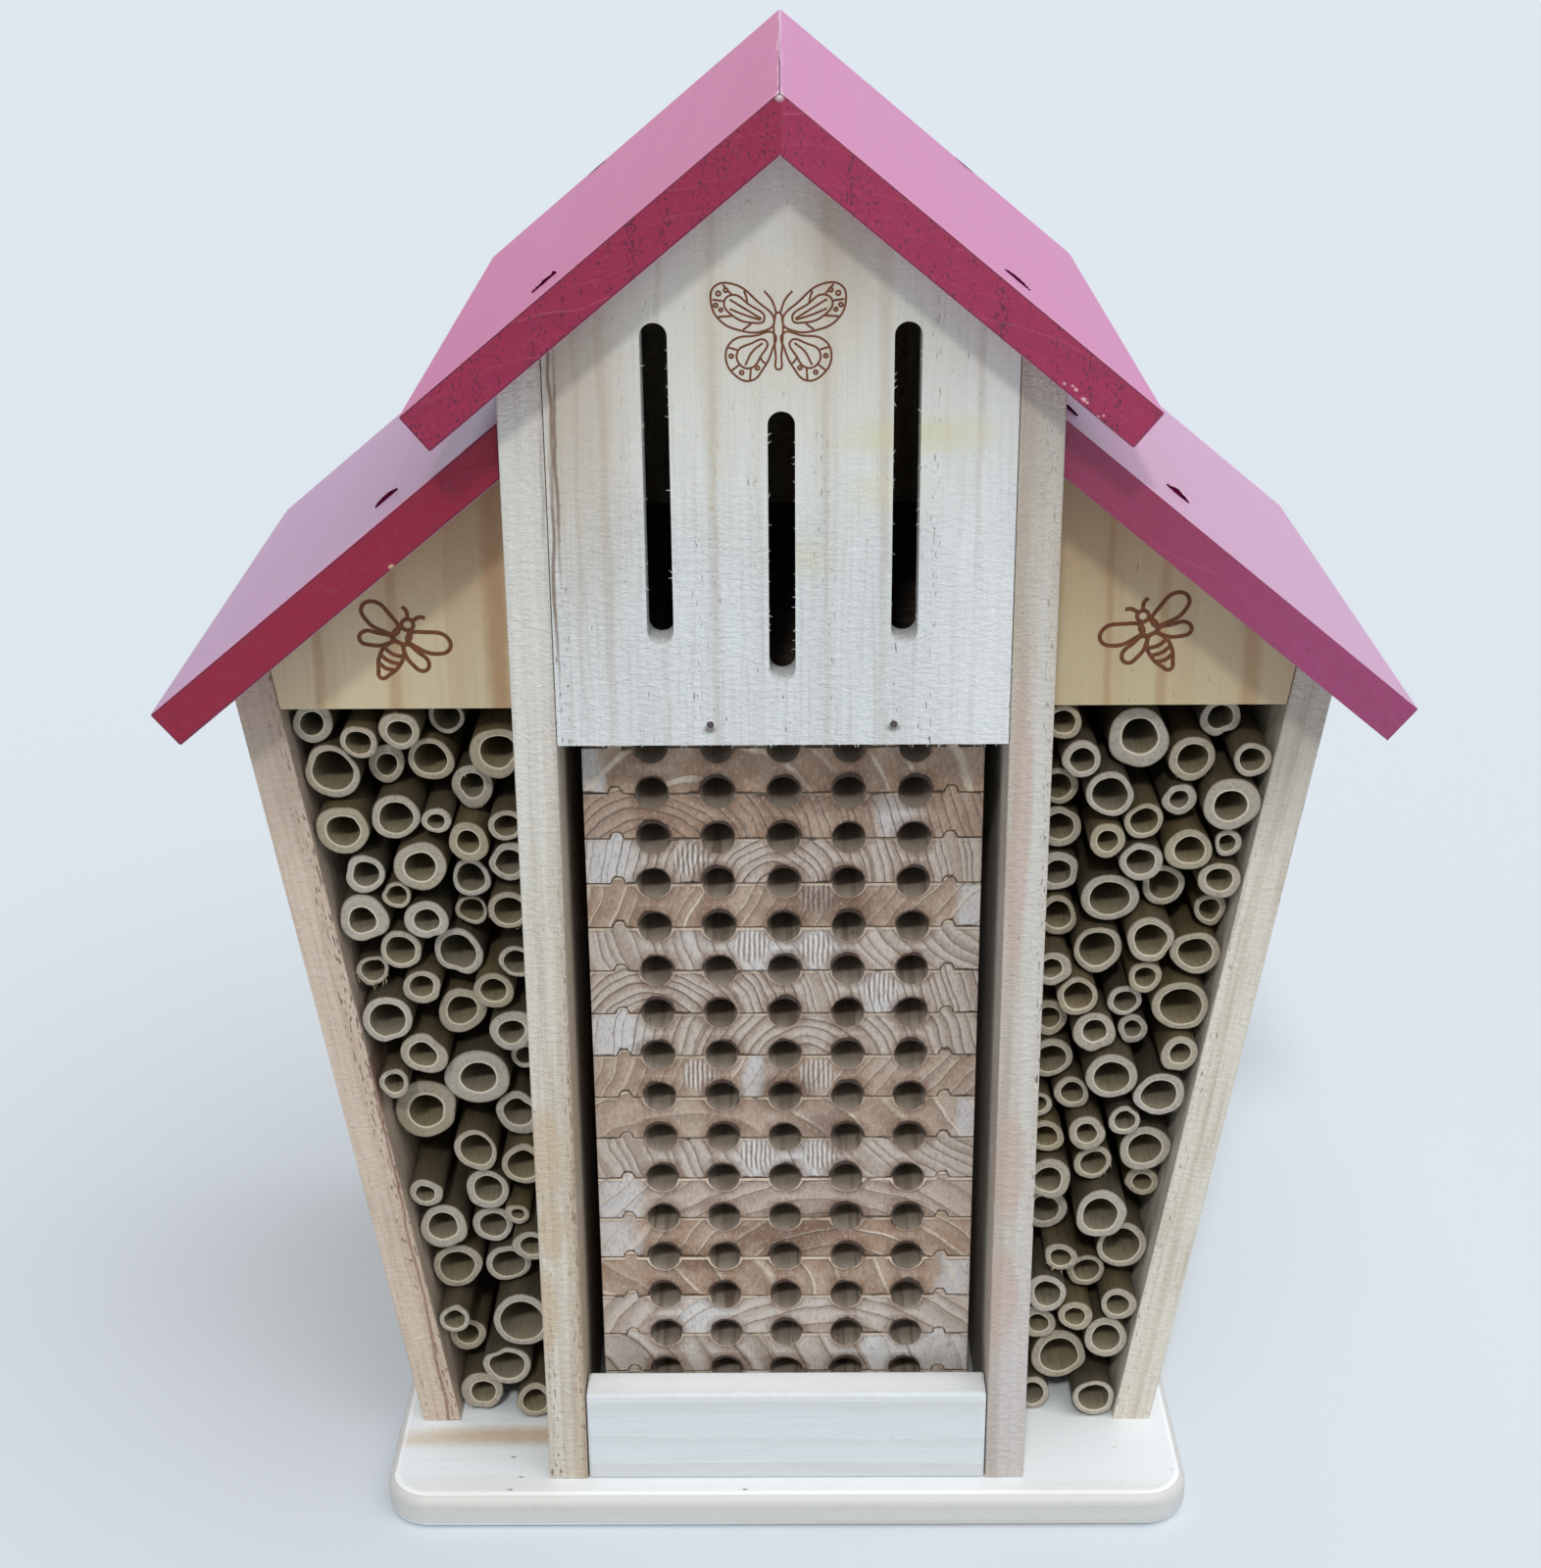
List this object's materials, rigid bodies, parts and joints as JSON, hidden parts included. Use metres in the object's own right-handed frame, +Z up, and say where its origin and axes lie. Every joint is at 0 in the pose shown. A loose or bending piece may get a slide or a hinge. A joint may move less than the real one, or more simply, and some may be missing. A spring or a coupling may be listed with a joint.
{
  "type": "mason bee house",
  "caption": "Gabled timber bee house with a stack of grooved nesting trays, a slotted butterfly chamber and flared wings packed with bamboo canes.",
  "frame": {"origin": "under the middle of the house, on the surface it stands on", "axes": "+Z up, -Y the front with the nest holes, +X to the right seen from the front"},
  "size_m": [0.292, 0.184, 0.3638],
  "materials": {
    "pine": "planed untreated pine",
    "pale_pine": "planed and sanded pale pine",
    "tray_pine": "routed pine, end grain to the front",
    "stained_pine": "raspberry wood stain on pine",
    "bamboo": "dry natural bamboo, sawn ends",
    "steel": "galvanised wire, dulled"
  },
  "bodies": {
    "house": {"base_board": "pale_pine", "upright_left": "pine", "upright_right": "pine", "front_panel": "pale_pine", "front_sill": "pale_pine", "chamber_floor": "pine", "back_panel": "pine", "side_back_left": "pine", "side_back_right": "pine", "outer_board_left": "pine", "outer_board_right": "pine", "side_panel_left": "pine", "side_panel_right": "pine", "cane_shelf_left": "pine", "cane_shelf_right": "pine", "roof_main_left": "stained_pine", "roof_main_right": "stained_pine", "roof_side_left": "stained_pine", "roof_side_right": "stained_pine", "roof_staples": "steel", "panel_brads": "steel", "tray_01": "tray_pine", "tray_02": "tray_pine", "tray_03": "tray_pine", "canes_left_1": "bamboo", "canes_left_2": "bamboo", "canes_left_3": "bamboo", "canes_left_4": "bamboo", "canes_left_5": "bamboo", "canes_left_6": "bamboo", "canes_right_1": "bamboo", "canes_right_2": "bamboo", "canes_right_3": "bamboo", "canes_right_4": "bamboo", "canes_right_5": "bamboo", "canes_right_6": "bamboo"},
    "tray_04": {"tray_04": "tray_pine"},
    "tray_05": {"tray_05": "tray_pine"},
    "tray_06": {"tray_06": "tray_pine"},
    "tray_07": {"tray_07": "tray_pine"},
    "tray_08": {"tray_08": "tray_pine"},
    "tray_09": {"tray_09": "tray_pine"},
    "tray_10": {"tray_10": "tray_pine"},
    "tray_11": {"tray_11": "tray_pine"},
    "tray_12": {"tray_12": "tray_pine"},
    "tray_13": {"tray_13": "tray_pine"},
    "tray_14": {"tray_14": "tray_pine"},
    "tray_15": {"tray_15": "tray_pine"},
    "tray_16": {"tray_16": "tray_pine"},
    "tray_17": {"tray_17": "tray_pine"},
    "tray_18": {"tray_18": "tray_pine"}
  },
  "joints": [
    {"name": "tray_04_slide", "type": "slide", "parent": "house", "child": "tray_04", "axis": [0, -1, 0], "range_m": [0, 0.18]},
    {"name": "tray_05_slide", "type": "slide", "parent": "house", "child": "tray_05", "axis": [0, -1, 0], "range_m": [0, 0.18]},
    {"name": "tray_06_slide", "type": "slide", "parent": "house", "child": "tray_06", "axis": [0, -1, 0], "range_m": [0, 0.18]},
    {"name": "tray_07_slide", "type": "slide", "parent": "house", "child": "tray_07", "axis": [0, -1, 0], "range_m": [0, 0.18]},
    {"name": "tray_08_slide", "type": "slide", "parent": "house", "child": "tray_08", "axis": [0, -1, 0], "range_m": [0, 0.18]},
    {"name": "tray_09_slide", "type": "slide", "parent": "house", "child": "tray_09", "axis": [0, -1, 0], "range_m": [0, 0.18]},
    {"name": "tray_10_slide", "type": "slide", "parent": "house", "child": "tray_10", "axis": [0, -1, 0], "range_m": [0, 0.18]},
    {"name": "tray_11_slide", "type": "slide", "parent": "house", "child": "tray_11", "axis": [0, -1, 0], "range_m": [0, 0.18]},
    {"name": "tray_12_slide", "type": "slide", "parent": "house", "child": "tray_12", "axis": [0, -1, 0], "range_m": [0, 0.18]},
    {"name": "tray_13_slide", "type": "slide", "parent": "house", "child": "tray_13", "axis": [0, -1, 0], "range_m": [0, 0.18]},
    {"name": "tray_14_slide", "type": "slide", "parent": "house", "child": "tray_14", "axis": [0, -1, 0], "range_m": [0, 0.18]},
    {"name": "tray_15_slide", "type": "slide", "parent": "house", "child": "tray_15", "axis": [0, -1, 0], "range_m": [0, 0.18]},
    {"name": "tray_16_slide", "type": "slide", "parent": "house", "child": "tray_16", "axis": [0, -1, 0], "range_m": [0, 0.18]},
    {"name": "tray_17_slide", "type": "slide", "parent": "house", "child": "tray_17", "axis": [0, -1, 0], "range_m": [0, 0.18]},
    {"name": "tray_18_slide", "type": "slide", "parent": "house", "child": "tray_18", "axis": [0, -1, 0], "range_m": [0, 0.18]}
  ]
}
